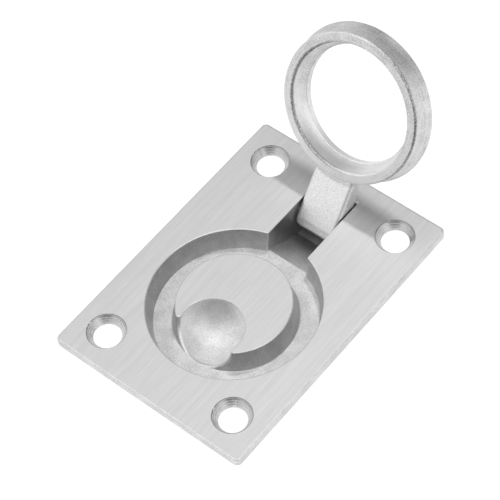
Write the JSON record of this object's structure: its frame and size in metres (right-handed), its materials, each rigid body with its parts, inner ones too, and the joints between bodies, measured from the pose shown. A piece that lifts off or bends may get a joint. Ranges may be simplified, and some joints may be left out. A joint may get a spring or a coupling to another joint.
{
  "type": "recessed pull handle",
  "caption": "Flush recessed pull handle for hatches and lockers: a ring on a hinged shank lifts out of a round recess with a finger scoop in a screw-on rectangular plate.",
  "frame": {"origin": "centre of the four screw holes, on the back face of the flange", "axes": "+Z out of the visible face, +Y along the plate's long side towards the hinge end, +X across the plate"},
  "size_m": [0.046, 0.0762, 0.0471],
  "materials": {
    "brushed_steel": "cast stainless steel, top face brushed along the plate, recess and back bead blasted",
    "satin_steel": "cast stainless steel, bead blasted to an even satin",
    "pin_steel": "drawn stainless steel wire, plain"
  },
  "bodies": {
    "base": {"base_plate": "brushed_steel", "hinge_pin": "pin_steel"},
    "ring": {"ring_handle": "satin_steel"}
  },
  "joints": [
    {"name": "ring_hinge", "type": "hinge", "parent": "base", "child": "ring", "pos_m": [0, 0.02156, -0.00145], "axis": [1, 0, 0], "range_deg": [0, 116.1]}
  ]
}
